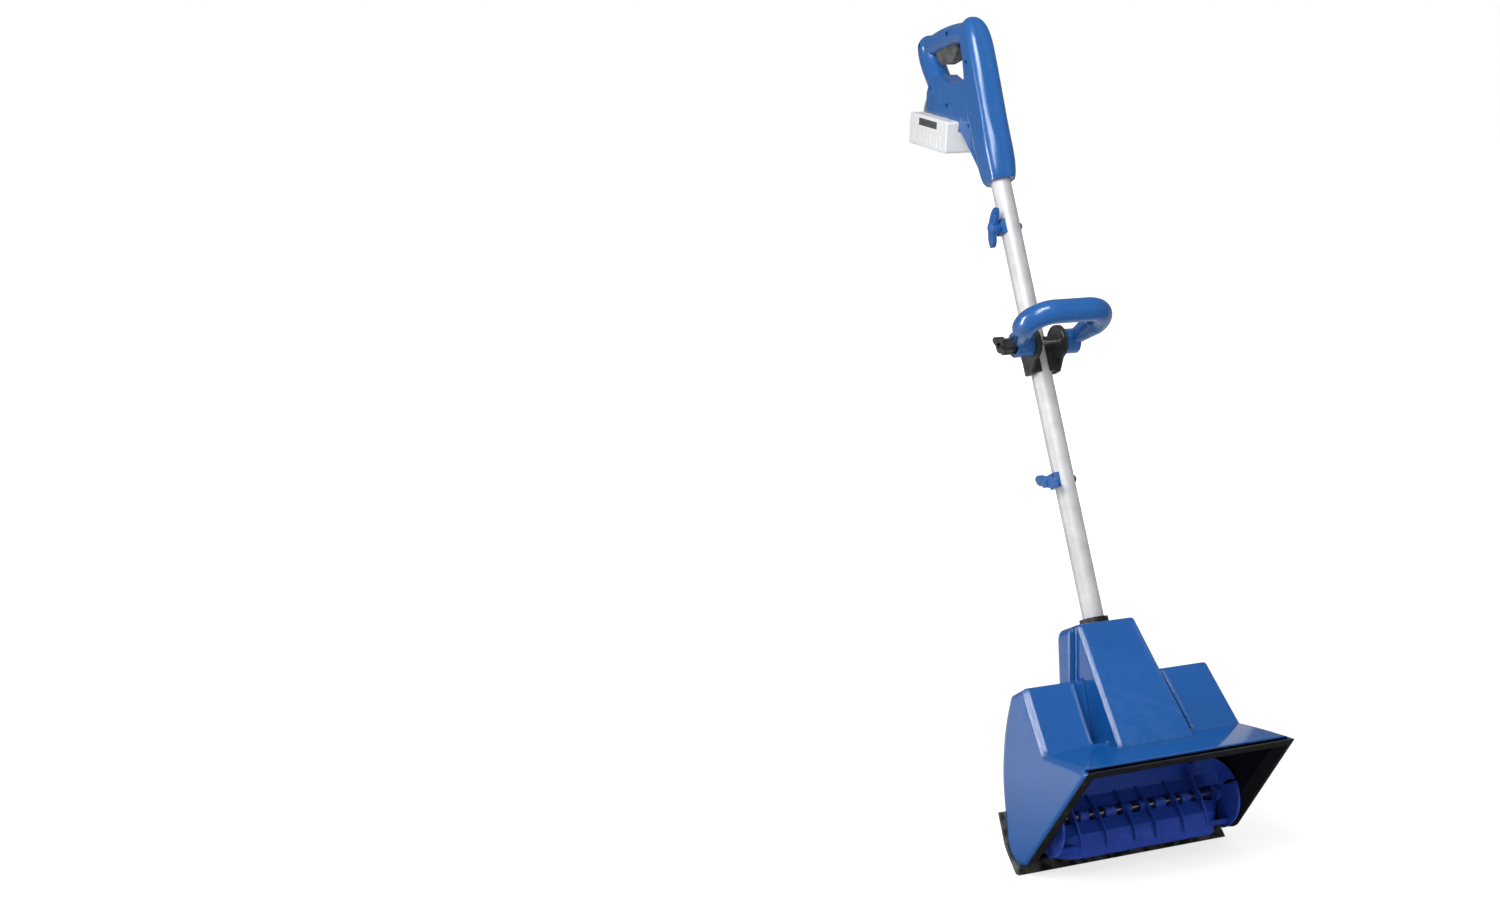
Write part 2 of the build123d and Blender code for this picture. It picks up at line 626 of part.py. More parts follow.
# ---------------------------------------------------------------- pole
def pole_socket():
    """Black socket that holds the foot of the pole, standing on the liner inside the tower."""
    floor = AXIS_Z + SWEEP_R + LINER_WALL
    sleeve = pipe(COLLAR_R, TUBE_R + SLIP, TUBE_FOOT, TOWER_TOP)
    collar = pipe(COLLAR_R + 1.5, TUBE_R + SLIP, TOWER_TOP, TOWER_TOP + COLLAR_H)
    post = block((-17, 17), (-17, 17), (floor, TUBE_FOOT)) - block(
        (-13, 20), (-13, 13), (floor + 4, TUBE_FOOT + 1))
    foot = block((-32, 32), (-22, 22), (floor, floor + 4))
    seat = pipe(COLLAR_R, TUBE_R - 3, TUBE_FOOT - 4, TUBE_FOOT)
    return sleeve + collar + post + foot + seat


def pole_tube(foot, top, spigot):
    """One aluminium tube; its narrowed upper end slides into the next tube."""
    bore = TUBE_R - TUBE_WALL
    tube = pipe(TUBE_R, bore, foot, top)
    if spigot:
        inner = bore - SLIP
        tube += pipe(inner, inner - TUBE_WALL, top - 6, top + SPIGOT_LENGTH)
        tube += pipe(TUBE_R, inner - TUBE_WALL, top - 6, top)
    for z in JOINTS:
        if foot < z + LOCK_RISE < top + SPIGOT_LENGTH * spigot:
            tube -= rod(LOCK_BOLT_R + SLIP, -40, 40, 0, z + LOCK_RISE)
    return tube


def lock_bolt(z):
    """Round-headed bolt across the joint of two tubes."""
    shank = rod(LOCK_BOLT_R, -TUBE_R - 14, TUBE_R, 0, z)
    head = Pos(TUBE_R, 0, z) * Rot(0, 90, 0) * Cylinder(
        5, 3, align=(Align.CENTER, Align.CENTER, Align.MIN))
    return shank + fillet(head.edges().filter_by(GeomType.CIRCLE).sort_by(Axis.X)[-1:], 1.5)


def lock_saddle(z):
    """Blue pad between the tube and the wing knob."""
    pad = Pos(0, 0, z) * block((-TUBE_R - 4, -TUBE_R + 4), (-9, 9), (-10, 10))
    pad -= Pos(0, 0, z) * Cylinder(TUBE_R + SLIP, 40)
    return pad - rod(LOCK_BOLT_R + SLIP, -40, 0, 0, z)


def wing_knob(z, turn):
    """Wing knob: round hub with two long lobes that sweep away from the pole."""
    hub_x = -TUBE_R - 4 - FIT
    hub = rod(8, hub_x - 13, hub_x, 0, 0)
    lobe = [(-6.5, 4), (-7, 12), (-5, 24), (0, 29), (5, 24), (7, 12), (6.5, 4)]
    face = make_face([Spline(*lobe), Line(lobe[-1], lobe[0])])
    wing = extrude(Plane.YZ * face, 6, dir=(1, 0, 0))
    wings = Part()
    for half in (0, 180):
        wings += Rot(half, 0, 0) * Pos(hub_x - 13, 0, 0) * Rot(0, 8, 0) * wing
    knob = hub + wings - rod(LOCK_BOLT_R + SLIP, hub_x - 12, hub_x + 1, 0, 0)
    return Pos(0, 0, z) * Rot(turn, 0, 0) * knob


# ---------------------------------------------------------------- loop handle
LOOP_REACH = hypot(BAR_Y - CLAMP_Y, BAR_Z - CLAMP_Z)


def loop_point(x, reach):
    """A point of the loop's plane, as a vector; reach is measured from the clamp bolt to the front."""
    return Vector(x, CLAMP_Y + reach * (BAR_Y - CLAMP_Y) / LOOP_REACH,
                  CLAMP_Z + reach * (BAR_Z - CLAMP_Z) / LOOP_REACH)


def assist_handle():
    """Front loop handle: thick bar, tapering arms and a ring boss at the end of each arm."""
    corner = 30.0
    path = FilletPolyline(loop_point(-42, 12), loop_point(-BAR_HALF, LOOP_REACH),
                          loop_point(BAR_HALF, LOOP_REACH), loop_point(42, 12), radius=corner)
    edges = path.edges()
    bar = edges[1:-1]
    start = bar[0] @ 0
    ring = Plane(origin=start, z_dir=bar[0] % 0) * Circle(BAR_R)
    loop = sweep(ring, path=Wire(bar))
    handle = loop
    for arm, near, far in ((edges[0], 1, 0), (edges[-1], 0, 1)):
        heading = (arm @ far) - (arm @ near)
        thick = Plane(origin=arm @ near, z_dir=heading) * Circle(BAR_R)
        thin = Plane(origin=arm @ far, z_dir=heading) * Circle(ARM_R)
        handle += loft([thick, thin])
    for side in (-1, 1):
        low, high = sorted((side * BOSS_X[0], side * BOSS_X[1]))
        handle += rod(BOSS_R, low, high, CLAMP_Y, CLAMP_Z)
    for side in (-1, 1):
        low, high = sorted((side * (BOSS_X[1] - 12), side * (BOSS_X[1] + 25)))
        handle -= rod(BOSS_R - 5, low, high, CLAMP_Y, CLAMP_Z)
    handle -= rod(CLAMP_BOLT_R + SLIP, -60, 60, CLAMP_Y, CLAMP_Z)
    return handle


def clamp_half(side):
    """Black clamp half: a round cheek on the bolt that narrows to a tail along the pole, and a curved jaw."""
    outer = BOSS_X[0] - FIT
    cheek = rod(CLAMP_R, outer - CLAMP_T, outer, CLAMP_Y, CLAMP_Z)
    cheek = fillet(cheek.edges().filter_by(GeomType.CIRCLE).sort_by(Axis.X)[:1], 3)
    tail = [(CLAMP_Y - CLAMP_R + 1, CLAMP_Z - 5), (-12, CLAMP_Z - 38), (2, CLAMP_Z - 38), (6, CLAMP_Z - 10),
            (CLAMP_Y + 12, CLAMP_Z + 19.5)]
    shape = cheek + prism(tail, outer - CLAMP_T + 2, outer)
    jaw = block((5, outer - 2), (-13, 8), (CLAMP_Z - 36, CLAMP_Z + 12))
    half = shape + jaw - Pos(0, 0, CLAMP_Z) * Cylinder(TUBE_R + SLIP, 120)
    half -= rod(CLAMP_BOLT_R + SLIP, -60, 60, CLAMP_Y, CLAMP_Z)
    return half if side > 0 else mirrored(half)


def clamp_bolt():
    """Long bolt in front of the pole, with its head and washer in the right ring boss."""
    floor = BOSS_X[1] - 12
    bolt = rod(CLAMP_BOLT_R, -BOSS_X[1] - 14, floor + 5, CLAMP_Y, CLAMP_Z)
    head = Pos(floor + 1.5, CLAMP_Y, CLAMP_Z) * Rot(0, 90, 0) * extrude(RegularPolygon(5.5, 6), 4)
    washer = rod(8, floor + FIT, floor + 1.5, CLAMP_Y, CLAMP_Z)
    return bolt + head + washer


def clamp_knob():
    """Black wing knob that tightens the clamp bolt, with its nut's socket open at the end."""
    floor = -(BOSS_X[1] - 12) - FIT
    end = -BOSS_X[1] - 22
    hub = rod(BOSS_R - 7, end, floor, 0, 0)
    wing = block((end - 2, -BOSS_X[1] - 10), (-17, 17), (-4, 4))
    wing = fillet(wing.edges().filter_by(Axis.X), 3.5)
    knob = hub + wing - rod(CLAMP_BOLT_R + SLIP, end + 5, floor + 1, 0, 0)
    knob -= rod(4.5, end - 5, end + 6, 0, 0)
    return Pos(0, CLAMP_Y, CLAMP_Z) * Rot(55, 0, 0) * knob


# ---------------------------------------------------------------- rear handle
def spine_section(z, front, back, half, corner):
    """Rounded section of the spine at a height."""
    return Pos(0, (front + back) / 2, z) * RectangleRounded(2 * half, back - front, corner)


def along(curve, radius):
    """A round bar along a curve drawn as (y, z)."""
    edge = (Plane.YZ * curve).edges()[0]
    return sweep(Plane(origin=edge @ 0, z_dir=edge % 0) * Circle(radius), path=edge)


def handle_form():
    """Both handle halves as one form: spine, arch, rear column, web and battery foot."""
    spine = loft([spine_section(*row) for row in SPINE_ROWS])
    arch = along(ThreePointArc(*ARCH), ARCH_R)
    column = along(Spline(*COLUMN), COLUMN_R) + Pos(0, *COLUMN[0]) * Sphere(COLUMN_R)
    web = prism(WEB, -WEB_HALF, WEB_HALF)
    outer = web.edges().filter_by(lambda e: abs(abs(e.center().X) - WEB_HALF) < 0.1)
    web = fillet(outer, 3)
    return spine + arch + column + web + pack_block((38, 92), (-12, 12), (-7, 6))


def handle_hollows():
    """Everything that the two halves leave free: pole, trigger, switch, board, button and terminals."""
    cavity = Pos(0, 0, (COLLAR_FOOT + POLE_TOP) / 2) * Cylinder(
        TUBE_R + SLIP, POLE_TOP - COLLAR_FOOT + 2 * FIT)
    cavity += block((-BOARD_HALF - FIT, BOARD_HALF + FIT), (-20, 11), BOARD_Z)
    cavity += block((-4, 4), (CABLE_Y - 4, CABLE_Y + 4), (POLE_TOP, BOARD_Z[0] + 1))
    cavity += prism([(26, 818), (26, 843), (62, 851), (93, 863), (93, 830)], -TRIGGER_HALF - FIT, TRIGGER_HALF + FIT)
    cavity += block((-SWITCH[0], SWITCH[0]), SWITCH[1], SWITCH[2])
    cavity += rod(TRIGGER_PIN_R + SLIP, -PIN_HALF - FIT, PIN_HALF + FIT, *TRIGGER_PIVOT)
    cavity += rod(4.5, TRIGGER_HALF, TRIGGER_HALF + 5, *TRIGGER_PIVOT)
    cavity += rod(BUTTON_R + FIT, BUTTON_X - 12, BUTTON_X + 10, *BUTTON_AT)
    cavity += pack_block((70, 90), (-9, 9), (FIT, 9))
    for blade in (-5, 5):
        cavity += pack_block((76, 84), (blade - 1, blade + 1), (-8, 1))
    for y, z in SCREWS_AT:
        cavity += rod(SCREW_HEAD_R - 0.4, -40, -SCREW_SEAT, y, z)
        cavity += rod(SCREW_R + SLIP, -SCREW_SEAT, 9, y, z)
    return cavity


def handle_half(side):
    """One moulded half of the rear handle."""
    half = block(sorted((0, side * 60)), (-100, 250), (500, 1000))
    return (handle_form() & half) - handle_hollows()


def handle_screws():
    """Screws that join the two halves, all set from the left side."""
    screws = []
    for y, z in SCREWS_AT:
        shank = rod(SCREW_R, -SCREW_SEAT, 8.5, y, z)
        screws.append(shank + rod(SCREW_HEAD_R - 0.7, -SCREW_SEAT - 2, -SCREW_SEAT, y, z))
    return Compound(children=screws)


def trigger():
    """Finger lever under the arch, on a pin near the spine."""
    y, z = TRIGGER_PIVOT
    outline = [(y - 4.5, z + 4), (y - 4.5, 822), (46, 813.5), (66, 817), (80, 824), (88, 837), (88.5, 849.5), (62, 846.3)]
    lever = prism(outline, -TRIGGER_HALF, TRIGGER_HALF)
    lower = lever.edges().filter_by(Axis.X).filter_by(lambda e: e.center().Z < 830)
    return fillet(lower, 3) - rod(TRIGGER_PIN_R + SLIP, -20, 20, y, z)


def trigger_spring():
    """Torsion spring round the trigger pin: three turns and a leg."""
    start = TRIGGER_HALF + 0.7
    y, z = TRIGGER_PIVOT
    coil = rod(3.7, start, start + 3.9, y, z) - rod(2.8, start - 1, start + 5, y, z)
    for gap in (0.9, 2.4):
        groove = rod(4.0, start + gap, start + gap + 0.6, y, z) - rod(3.1, start, start + 5, y, z)
        coil -= groove
    return coil


# ---------------------------------------------------------------- battery pack
PACK_RUN = hypot(SHOE[0][0] - SHOE[1][0], SHOE[0][1] - SHOE[1][1])
PACK_U = ((SHOE[0][0] - SHOE[1][0]) / PACK_RUN, (SHOE[0][1] - SHOE[1][1]) / PACK_RUN)
PACK_W = (-PACK_U[1], PACK_U[0])


def pack_point(u, w):
    """(y, z) of a point along the battery rail and above it."""
    return (PACK_ORIGIN[0] + u * PACK_U[0] + w * PACK_W[0], PACK_ORIGIN[1] + u * PACK_U[1] + w * PACK_W[1])


def pack_block(u, x, w):
    """A box in the battery's own directions: along the rail, across, and above it."""
    corners = [pack_point(u[0], w[0]), pack_point(u[1], w[0]), pack_point(u[1], w[1]), pack_point(u[0], w[1])]
    return prism(corners, x[0], x[1])


def pack_rod(radius, u, w, half):
    """A round bar across the battery."""
    return rod(radius, -half, half, *pack_point(u, w))


def pack_form():
    """Outside of the battery pack with its rail channel and the notch for the handle web."""
    body = pack_block((0, PACK_LENGTH), (-PACK_HALF, PACK_HALF), (-PACK_HEIGHT, -FIT))
    body = fillet(body.edges().filter_by(Axis.X), 4)
    ends = body.edges().filter_by(lambda e: abs(abs(e.center().X) - PACK_HALF) < 0.01)
    body = fillet(ends, 2)
    body -= pack_block((-5, 92.5), (-12.5, 12.5), (-8, 5))
    notch = [pack_point(u, w) for u, w in ((-5, -20), (2, -15), (11, -9), (38, -1), (38, 5), (-5, 5))]
    body -= prism(notch, -WEB_HALF - FIT, WEB_HALF + FIT)
    for index in range(VENTS):
        u = 14 + index * 10
        groove = pack_block((u, u + 4), (PACK_HALF - 0.8, PACK_HALF + 2), (-PACK_HEIGHT + 5, -22))
        body -= groove
        body -= mirrored(groove)
    return body


def battery_hollow():
    """Room for the cells, the board and the latch."""
    room = pack_block((4, PACK_LENGTH - 6), (-PACK_HALF + 3, PACK_HALF - 3), (-PACK_HEIGHT + CASE_WALL, -18))
    return room + pack_block((LATCH_U[0] - FIT, LATCH_U[1] + FIT), (-15 - FIT, 15 + FIT), (-12, 5))


def battery_lid():
    """Upper half of the battery case, with the rail channel."""
    above = pack_block((-10, 2 * PACK_LENGTH), (-2 * PACK_HALF, 2 * PACK_HALF), (PACK_SPLIT, 20))
    inset = pack_block((GAUGE_U[0] - 0.2, GAUGE_U[1] + 0.2), (-PACK_HALF - 2, -PACK_HALF + 0.8), (-15.2, -4.8))
    return (pack_form() & above) - battery_hollow() - inset


def battery_base():
    """Lower half of the battery case, with the vent grooves."""
    below = pack_block((-10, 2 * PACK_LENGTH), (-2 * PACK_HALF, 2 * PACK_HALF), (-2 * PACK_HEIGHT, PACK_SPLIT))
    return (pack_form() & below) - battery_hollow()


def battery_cells():
    """Five round cells lying across the pack."""
    pitch = 2 * CELL_R + 0.6
    floor = -PACK_HEIGHT + CASE_WALL + FIT
    cells = []
    for index in range(int((PACK_LENGTH - 10) // pitch)):
        u = 4 + CELL_R + 1.8 + index * pitch
        cells.append(pack_rod(CELL_R, u, floor + CELL_R, PACK_HALF - 3 - FIT))
    return Compound(children=cells)


def battery_gauge():
    """Charge gauge let into the left side of the case."""
    plate = pack_block(GAUGE_U, (-PACK_HALF, -PACK_HALF + 0.8), (-15, -5))
    for index in range(4):
        u = GAUGE_U[0] + 18 + index * 6
        plate -= pack_block((u, u + 4), (-PACK_HALF - 1, -PACK_HALF + 0.3), (-12, -8))
    return plate


def battery_latch():
    """Release button at the back of the pack."""
    low, high = LATCH_U
    outline = [pack_point(u, w) for u, w in ((low, -8), (high, -8), (high, 6), (low + 3, 16), (low, 16))]
    button = prism(outline, -15, 15)
    return fillet(button.edges().filter_by(Axis.X).filter_by(lambda e: e.center().Z > 785), 1.2)


# ---------------------------------------------------------------- small parts of the handle
def lock_button():
    """Safety button on the right side of the arch."""
    button = rod(BUTTON_R, BUTTON_X - 8, BUTTON_X, *BUTTON_AT)
    return fillet(button.edges().filter_by(GeomType.CIRCLE).sort_by(Axis.X)[-1:], 1)


def power_switch():
    """Microswitch above the trigger."""
    half, y, z = SWITCH
    return block((-half + FIT, half - FIT), (y[0] + FIT, y[1] - FIT), (z[0] + 0.5, z[1] - FIT))


def control_board():
    """Circuit board in the spine, with two power parts on it."""
    low, high = BOARD_Z
    board = block((-BOARD_HALF, BOARD_HALF), (-8, -6.4), (low + FIT, high - FIT))
    for z in (low + 22, low + 44):
        board += block((-6, 6), (-6.4, 2), (z, z + 12))
    return board


def terminal_block():
    """Battery contacts: moulded block in the foot with two blades down into the rail channel."""
    contact = pack_block((70 + FIT, 90 - FIT), (-9 + FIT, 9 - FIT), (2 * FIT, 9 - FIT))
    for blade in (-5, 5):
        contact += pack_block((76.3, 83.7), (blade - 0.7, blade + 0.7), (-7.6, 1))
    return contact


def power_cable():
    """Cable from the motor up the inside of the pole to the control board."""
    back = LINER_X - 0.5 - MOTOR_LENGTH - 5
    route = FilletPolyline((back, CABLE_Y, MOTOR_Z), (14, CABLE_Y, MOTOR_Z), (0, CABLE_Y, -112),
                           (0, CABLE_Y, BOARD_Z[0] - 2), radius=30)
    ring = Plane(origin=route @ 0, z_dir=route % 0) * Circle(CABLE_R)
    return sweep(ring, path=route)


# ---------------------------------------------------------------- placing and export
def ground_shift():
    """Distance from the pole frame's origin to the ground edge once the pole leans."""
    y, z = SCRAPER_EDGE
    c, s = cos(radians(LEAN)), sin(radians(LEAN))
    return (y * c + z * s, -y * s + z * c)


def placed(shape):
    """Lean the pole back and stand the scraper's edge on the ground."""
    y, z = ground_shift()
    return Pos(0, -y, -z) * Rot(-LEAN, 0, 0) * shape


def export_all():
    """One STEP file per piece."""
    lower, upper = (z + LOCK_RISE for z in JOINTS)
    pieces = {
        "hood_shell": hood_shell(),
        "scoop_liner": scoop_liner(),
        "scraper_blade": scraper_blade(),
        "scraper_screws": scraper_screws(),
        "rotor": rotor(),
        "rotor_shaft": rotor_shaft(),
        "rotor_bush_left": rotor_bush(-1),
        "rotor_bush_right": rotor_bush(1),
        "rotor_pulley": rotor_pulley(),
        "drive_belt": drive_belt(),
        "motor": motor(),
        "motor_bracket": motor_bracket(),
        "motor_pulley": motor_pulley(),
        "motor_shaft": motor_shaft(),
        "pole_socket": pole_socket(),
        "lower_tube": pole_tube(TUBE_FOOT, JOINTS[0], True),
        "middle_tube": pole_tube(JOINTS[0], JOINTS[1], True),
        "upper_tube": pole_tube(JOINTS[1], POLE_TOP, False),
        "lower_lock_bolt": lock_bolt(lower),
        "upper_lock_bolt": lock_bolt(upper),
        "lower_lock_saddle": lock_saddle(lower),
        "upper_lock_saddle": lock_saddle(upper),
        "lower_lock_knob": wing_knob(lower, KNOB_TURNS[1]),
        "upper_lock_knob": wing_knob(upper, KNOB_TURNS[0]),
        "assist_handle": assist_handle(),
        "clamp_half_left": clamp_half(-1),
        "clamp_half_right": clamp_half(1),
        "clamp_bolt": clamp_bolt(),
        "clamp_knob": clamp_knob(),
        "handle_shell_left": handle_half(-1),
        "handle_shell_right": handle_half(1),
        "handle_screws": handle_screws(),
        "trigger": trigger(),
        "trigger_pin": rod(TRIGGER_PIN_R, -PIN_HALF, PIN_HALF, *TRIGGER_PIVOT),
        "trigger_spring": trigger_spring(),
        "lock_button": lock_button(),
        "power_switch": power_switch(),
        "control_board": control_board(),
        "terminal_block": terminal_block(),
        "power_cable": power_cable(),
        "battery_lid": battery_lid(),
        "battery_base": battery_base(),
        "battery_cells": battery_cells(),
        "battery_gauge": battery_gauge(),
        "battery_latch": battery_latch(),
    }
    os.makedirs("parts", exist_ok=True)
    for name, piece in pieces.items():
        export_step(placed(piece), f"parts/{name}.step")


export_all()
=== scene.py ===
"""Cordless snow shovel: the visible finish of every piece, in metres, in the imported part's own frame."""
from math import radians

import bpy
from mathutils import Euler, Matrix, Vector

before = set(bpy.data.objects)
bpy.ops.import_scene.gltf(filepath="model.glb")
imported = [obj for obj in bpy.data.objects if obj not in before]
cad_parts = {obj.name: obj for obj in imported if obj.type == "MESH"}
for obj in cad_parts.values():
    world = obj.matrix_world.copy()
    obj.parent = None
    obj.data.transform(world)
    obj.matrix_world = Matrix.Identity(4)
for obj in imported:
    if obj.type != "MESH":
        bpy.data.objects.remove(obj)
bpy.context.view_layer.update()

# ------------------------------------------------------------------ hood
# The hood is one large injection moulding in glossy blue ABS. Its long edges are rolled over in the tool,
# its skin has the faint waviness of a big flat moulding, and handling leaves fine rubbed scratches.


def noise_layer(tree, scale, detail=2.0, stretch=(1.0, 1.0, 1.0)):
    """Fractal noise on object coordinates; stretch multiplies the coordinates axis by axis."""
    place = tree.nodes.new("ShaderNodeTexCoord")
    turn = tree.nodes.new("ShaderNodeMapping")
    turn.inputs["Scale"].default_value = stretch
    cloud = tree.nodes.new("ShaderNodeTexNoise")
    cloud.inputs["Scale"].default_value = scale
    cloud.inputs["Detail"].default_value = detail
    tree.links.new(place.outputs["Object"], turn.inputs["Vector"])
    tree.links.new(turn.outputs["Vector"], cloud.inputs["Vector"])
    return cloud.outputs["Fac"]


def span(tree, value, low, high, out_low, out_high):
    """Straight-line map of a value from one range to another, held at both ends."""
    line = tree.nodes.new("ShaderNodeMapRange")
    line.inputs["From Min"].default_value = low
    line.inputs["From Max"].default_value = high
    line.inputs["To Min"].default_value = out_low
    line.inputs["To Max"].default_value = out_high
    tree.links.new(value, line.inputs["Value"])
    return line.outputs["Result"]


def moulded_skin_group():
    """Group for moulded plastic: tone drifts over the part, edges rub paler, and a fine grain gives height.

    Edge is 1 where the pointiness of the mesh is well above flat; colour is the base, moved a little towards
    the worn colour by edge times a patchy noise; height is grain noise plus a very broad waviness.
    """
    group = bpy.data.node_groups.new("moulded_skin", "ShaderNodeTree")
    sock = group.interface.new_socket
    sock("Colour", in_out="INPUT", socket_type="NodeSocketColor")
    sock("Worn", in_out="INPUT", socket_type="NodeSocketColor")
    for name, value in (("Wear", 0.3), ("Grain", 900.0), ("Grain Height", 0.5),
                        ("Rough", 0.3), ("Spread", 0.08)):
        sock(name, in_out="INPUT", socket_type="NodeSocketFloat").default_value = value
    sock("Colour", in_out="OUTPUT", socket_type="NodeSocketColor")
    sock("Roughness", in_out="OUTPUT", socket_type="NodeSocketFloat")
    sock("Height", in_out="OUTPUT", socket_type="NodeSocketFloat")
    new, link = group.nodes.new, group.links.new
    given, result = new("NodeGroupInput"), new("NodeGroupOutput")
    broad = noise_layer(group, 9.0, 3.0)
    patch = noise_layer(group, 70.0, 6.0)
    tone = new("ShaderNodeHueSaturation")
    link(span(group, broad, 0.3, 0.7, 0.93, 1.07), tone.inputs["Value"])
    link(given.outputs["Colour"], tone.inputs["Color"])
    shape = new("ShaderNodeNewGeometry")
    edge = span(group, shape.outputs["Pointiness"], 0.52, 0.62, 0.0, 1.0)
    broken = new("ShaderNodeMath")
    broken.operation = "MULTIPLY"
    link(edge, broken.inputs[0])
    link(span(group, patch, 0.42, 0.62, 0.0, 1.0), broken.inputs[1])
    amount = new("ShaderNodeMath")
    amount.operation = "MULTIPLY"
    link(broken.outputs[0], amount.inputs[0])
    link(given.outputs["Wear"], amount.inputs[1])
    worn = new("ShaderNodeMix")
    worn.data_type = "RGBA"
    link(amount.outputs[0], worn.inputs["Factor"])
    link(tone.outputs["Color"], worn.inputs["A"])
    link(given.outputs["Worn"], worn.inputs["B"])
    link(worn.outputs["Result"], result.inputs["Colour"])
    rough = new("ShaderNodeMath")
    rough.operation = "MULTIPLY_ADD"
    link(span(group, patch, 0.3, 0.7, -1.0, 1.0), rough.inputs[0])
    link(given.outputs["Spread"], rough.inputs[1])
    link(given.outputs["Rough"], rough.inputs[2])
    link(rough.outputs[0], result.inputs["Roughness"])
    place = new("ShaderNodeTexCoord")
    fine = new("ShaderNodeTexNoise")
    fine.inputs["Detail"].default_value = 1.0
    link(place.outputs["Object"], fine.inputs["Vector"])
    link(given.outputs["Grain"], fine.inputs["Scale"])
    grain = new("ShaderNodeMath")
    grain.operation = "MULTIPLY"
    link(fine.outputs["Fac"], grain.inputs[0])
    link(given.outputs["Grain Height"], grain.inputs[1])
    height = new("ShaderNodeMath")
    height.operation = "ADD"
    link(grain.outputs[0], height.inputs[0])
    link(span(group, broad, 0.0, 1.0, 0.0, 0.25), height.inputs[1])
    link(height.outputs[0], result.inputs["Height"])
    return group


SKIN = moulded_skin_group()
EDGE_SAMPLES = 8


def moulded(name, colour, worn, rough, spread=0.04, wear=0.3, grain=900.0, grain_height=0.2,
            bump=0.0004, coat=0.0, roll=0.0006, shine=0.5):
    """Moulded plastic made with the skin group.

    Bump is the height of its relief and roll the radius that its edges show in the light, both in metres.
    """
    material = bpy.data.materials.new(name)
    material.use_nodes = True
    tree = material.node_tree
    surface = tree.nodes["Principled BSDF"]
    skin = tree.nodes.new("ShaderNodeGroup")
    skin.node_tree = SKIN
    for socket, value in (("Colour", (*colour, 1)), ("Worn", (*worn, 1)), ("Wear", wear), ("Grain", grain),
                          ("Grain Height", grain_height), ("Rough", rough), ("Spread", spread)):
        skin.inputs[socket].default_value = value
    relief = tree.nodes.new("ShaderNodeBump")
    relief.inputs["Distance"].default_value = bump
    relief.inputs["Strength"].default_value = 1.0
    if roll:
        edge = tree.nodes.new("ShaderNodeBevel")
        edge.samples = EDGE_SAMPLES
        edge.inputs["Radius"].default_value = roll
        tree.links.new(edge.outputs["Normal"], relief.inputs["Normal"])
    surface.inputs["Specular IOR Level"].default_value = shine
    tree.links.new(skin.outputs["Colour"], surface.inputs["Base Color"])
    tree.links.new(skin.outputs["Roughness"], surface.inputs["Roughness"])
    tree.links.new(skin.outputs["Height"], relief.inputs["Height"])
    tree.links.new(relief.outputs["Normal"], surface.inputs["Normal"])
    if coat:
        surface.inputs["Coat Weight"].default_value = coat
        surface.inputs["Coat Roughness"].default_value = 0.04
    return material


def finish_node(node, material):
    """Give a CAD node its material."""
    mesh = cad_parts[node].data
    mesh.materials.clear()
    mesh.materials.append(material)


HOOD_BLUE = (0.007, 0.078, 0.285)
WORN_BLUE = (0.10, 0.22, 0.52)
hood_gloss = moulded("hood_gloss_blue", HOOD_BLUE, WORN_BLUE, rough=0.075, spread=0.008, wear=0.12,
                     grain=260.0, grain_height=0.05, bump=0.00025, roll=0.008, shine=0.9)
finish_node("hood_shell", hood_gloss)

# ------------------------------------------------------------------ scoop and scraper
# Inside the hood sits a black scoop with a fine sand-like texture. The scraper is a thick black wear plate,
# held by five screws, and the ground has scuffed its lower edge grey.
LINER_BLACK = (0.005, 0.005, 0.0055)
liner_black = moulded("liner_black_texture", LINER_BLACK, (0.06, 0.06, 0.062), rough=0.42, spread=0.08,
                      wear=0.35, grain=1500.0, grain_height=1.2, bump=0.0002, shine=0.3)
finish_node("scoop_liner", liner_black)

scraper_black = moulded("scraper_black_scuffed", (0.014, 0.014, 0.015), (0.13, 0.13, 0.13), rough=0.5,
                        spread=0.12, wear=0.7, grain=700.0, grain_height=0.8, bump=0.0003)
finish_node("scraper_blade", scraper_black)


def metal(name, colour, rough, spread=0.06, stretch=(1.0, 1.0, 1.0), scale=300.0, bump=0.00003, metallic=1.0):
    """Bare or plated metal: streaky noise varies its tone and roughness, and gives a very low relief."""
    material = bpy.data.materials.new(name)
    material.use_nodes = True
    tree = material.node_tree
    surface = tree.nodes["Principled BSDF"]
    surface.inputs["Metallic"].default_value = metallic
    streak = noise_layer(tree, scale, 4.0, stretch)
    patch = noise_layer(tree, 35.0, 3.0)
    tone = tree.nodes.new("ShaderNodeMix")
    tone.data_type = "RGBA"
    tone.inputs["A"].default_value = (*[c * 0.86 for c in colour], 1)
    tone.inputs["B"].default_value = (*[min(1.0, c * 1.08) for c in colour], 1)
    tree.links.new(span(tree, patch, 0.3, 0.7, 0.0, 1.0), tone.inputs["Factor"])
    tree.links.new(tone.outputs["Result"], surface.inputs["Base Color"])
    roughness = span(tree, streak, 0.25, 0.75, rough - spread, rough + spread)
    tree.links.new(roughness, surface.inputs["Roughness"])
    relief = tree.nodes.new("ShaderNodeBump")
    relief.inputs["Distance"].default_value = bump
    tree.links.new(streak, relief.inputs["Height"])
    tree.links.new(relief.outputs["Normal"], surface.inputs["Normal"])
    return material


zinc_steel = metal("zinc_plated_steel", (0.56, 0.56, 0.55), 0.3)
finish_node("scraper_screws", zinc_steel)

